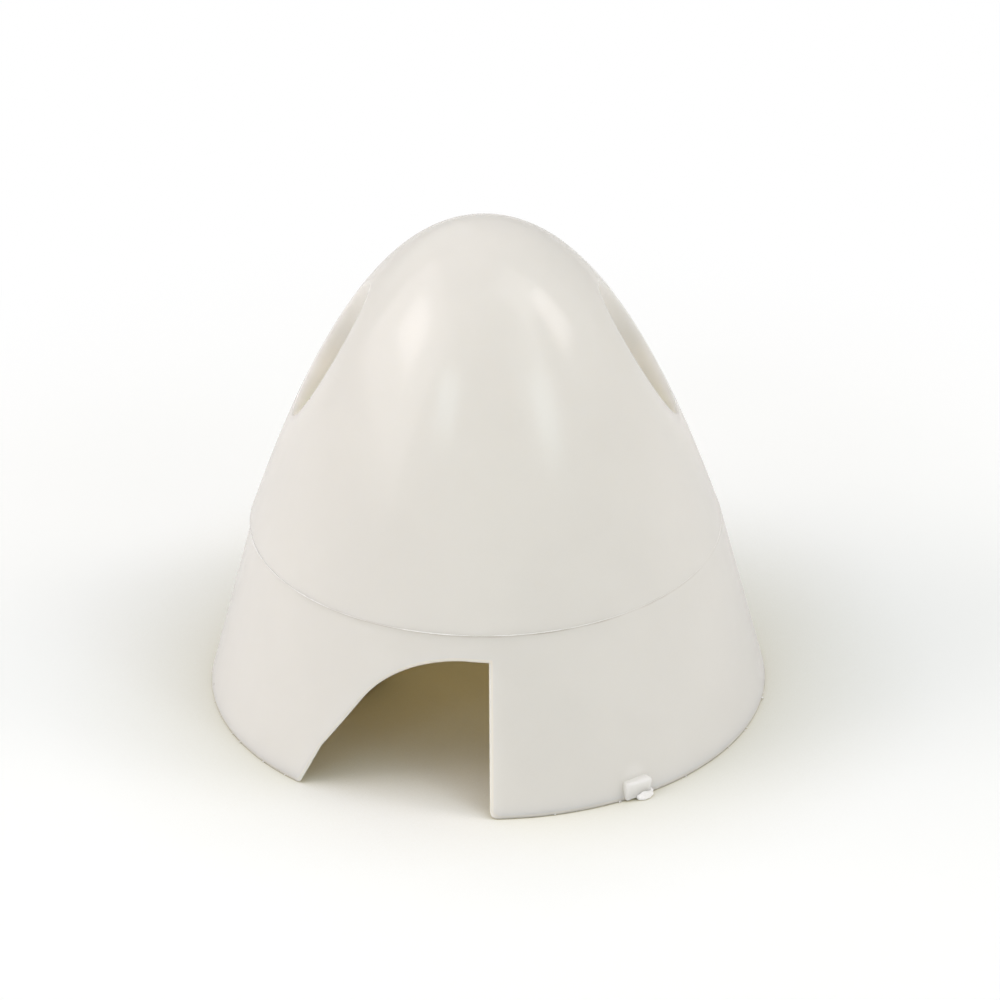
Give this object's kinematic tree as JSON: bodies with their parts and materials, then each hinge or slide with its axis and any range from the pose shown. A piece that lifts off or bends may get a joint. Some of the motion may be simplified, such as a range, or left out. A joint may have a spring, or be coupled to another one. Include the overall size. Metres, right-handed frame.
{
  "type": "propeller spinner",
  "caption": "White plastic propeller spinner: a pointed dome on a tapered skirt, open below, with side cut-outs for the blades and deep screw wells in its shoulders.",
  "frame": {"origin": "centre of the open rim, in the plane that the spinner stands on", "axes": "+Z along the axis of rotation towards the nose, +X towards one screw well, -Y towards the blade cut-out that the picture shows"},
  "size_m": [0.05, 0.05, 0.0452],
  "materials": {
    "white_plastic": "smooth white moulded plastic, softly glossy and a little translucent, with fine wipe marks, a mould seam and a torn gate at the rim"
  },
  "bodies": {
    "root": {"spinner_cone": "white_plastic"}
  },
  "joints": []
}
